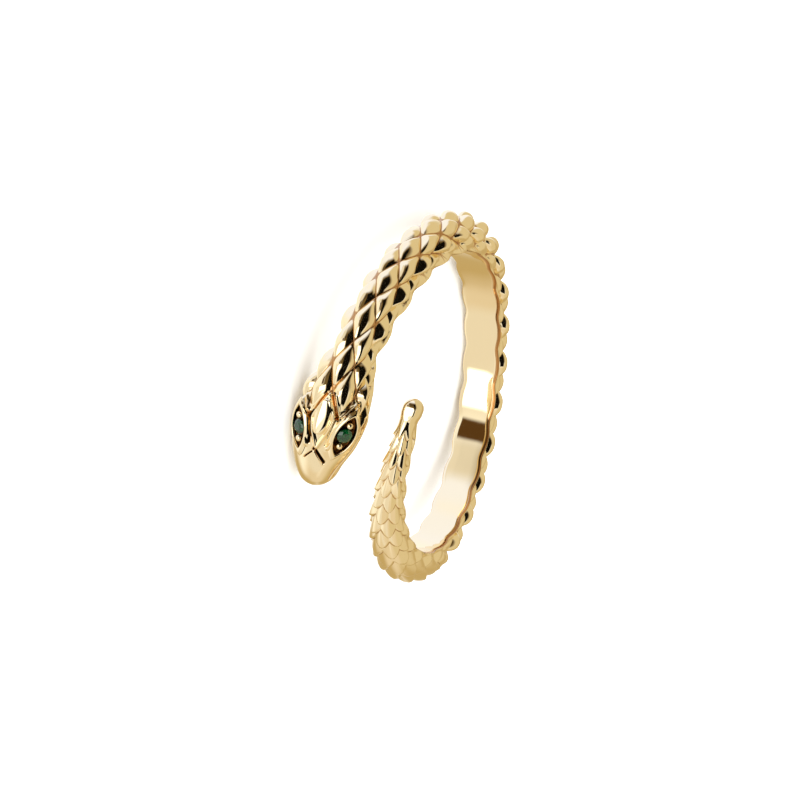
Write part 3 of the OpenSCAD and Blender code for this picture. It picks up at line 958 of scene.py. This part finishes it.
# %% Cards of the room
CARDS = [
    # name, left, right, low, high edge in degrees, softness sideways and up, tint, light
    ("above", -180, 180, 34, 90, 1, 30, "#DCE4FF", 1.45),
    ("below", -180, 180, -90, -46, 1, 30, "#FFF2DC", 0.84),
    ("far_right", 60, 160, -66, 70, 26, 20, "#FFF1CC", 0.76),
    ("behind", 128, 181, -58, 12, 26, 22, "#FFE4A8", 0.59),
    ("warm_above", -62, -4, 31, 61, 20, 14, "#FFFCF8", 0.88),
    ("left_wall", -86, -34, -90, 14, 24, 16, "#FFFAF2", 0.90),
    ("far_left", -181, -122, -58, -4, 30, 24, "#FFE4A8", 0.59),
    ("dusk", -24, 66, -6, 62, 20, 26, "#E0BC7C", 0.22),
    ("white_box", -44, -3, -19, 7, 3, 4, "#FFFFFF", 2.60),
    ("brown_card", -37, -24, 16, 31, 4, 4, "#E8A860", 0.13),
    ("dark_above", -22, 2, 28, 44, 6, 8, "#E8C090", 0.12),
    ("black_card", 4, 55, -43, 48, 3, 4, "#FFE0B0", 0.004),
]
ROOM_TINT, ROOM_LIGHT = "#FFFFFF", 1.12  # the room behind the cards
PLAIN_LIGHT = 1.9                        # what all but the mirror rays see

world = bpy.data.worlds.new("studio")
bpy.context.scene.world = world
world.use_nodes = True
tree = world.node_tree
tree.nodes.clear()
way = add(tree, "ShaderNodeTexCoord")


def along_axis(axis):
    """How far a direction in the room points along one of the camera's axes."""
    laid = tuple((rest.to_3x3() @ axis).normalized())
    return add(tree, "ShaderNodeVectorMath", {"operation": "DOT_PRODUCT", 1: laid},
               {0: way.outputs["Generated"]}).outputs["Value"]


def inside(edges):
    """1 on a card and 0 off it, from its edges: an angle, where the edge lies, softness, side."""
    share = None
    for value, at, soft, rising in edges:
        step = add(tree, "ShaderNodeMapRange",
                   {"interpolation_type": "SMOOTHSTEP",
                    "From Min": math.radians(at - soft / 2), "From Max": math.radians(at + soft / 2),
                    "To Min": 0.0 if rising else 1.0, "To Max": 1.0 if rising else 0.0},
                   {"Value": value}).outputs["Result"]
        share = step if share is None else add(tree, "ShaderNodeMath", {"operation": "MULTIPLY"},
                                               {0: share, 1: step}).outputs["Value"]
    return share


def glow(tint, strength):
    """The light of a card."""
    return [strength * part for part in linear(tint)[:3]] + [1.0]


sideways = add(tree, "ShaderNodeMath", {"operation": "ARCTAN2"},
               {0: along_axis(right), 1: along_axis(to_eye)}).outputs["Value"]
upward = add(tree, "ShaderNodeMath", {"operation": "ARCSINE"}, {0: along_axis(above)}).outputs["Value"]
light = add(tree, "ShaderNodeRGB")
light.outputs["Color"].default_value = glow(ROOM_TINT, ROOM_LIGHT)
seen = light.outputs["Color"]
for name, left, far, low, high, side_soft, up_soft, tint, strength in CARDS:
    edges = [(upward, low, up_soft, True), (upward, high, up_soft, False)]
    if far - left < 360:
        edges += [(sideways, left, side_soft, True), (sideways, far, side_soft, False)]
    # sockets 0, 6 and 7 of a colour mix are its share and its two colours
    lay = add(tree, "ShaderNodeMix", {"data_type": "RGBA", "label": name, 7: glow(tint, strength)},
              {0: inside(edges), 6: seen})
    seen = lay.outputs[2]
mirror = add(tree, "ShaderNodeBackground", {"Strength": 1.0}, {"Color": seen})
plain = add(tree, "ShaderNodeBackground", {"Color": (1, 1, 1, 1), "Strength": PLAIN_LIGHT})
ray = add(tree, "ShaderNodeLightPath")
both = add(tree, "ShaderNodeMixShader",
           links={0: ray.outputs["Is Glossy Ray"], 1: plain.outputs["Background"],
                  2: mirror.outputs["Background"]})
add(tree, "ShaderNodeOutputWorld", links={"Surface": both.outputs["Shader"]})
floor.visible_glossy = False
bpy.context.scene.view_settings.view_transform = "Standard"
print("the room has", len(CARDS), "cards:", [card[0] for card in CARDS])
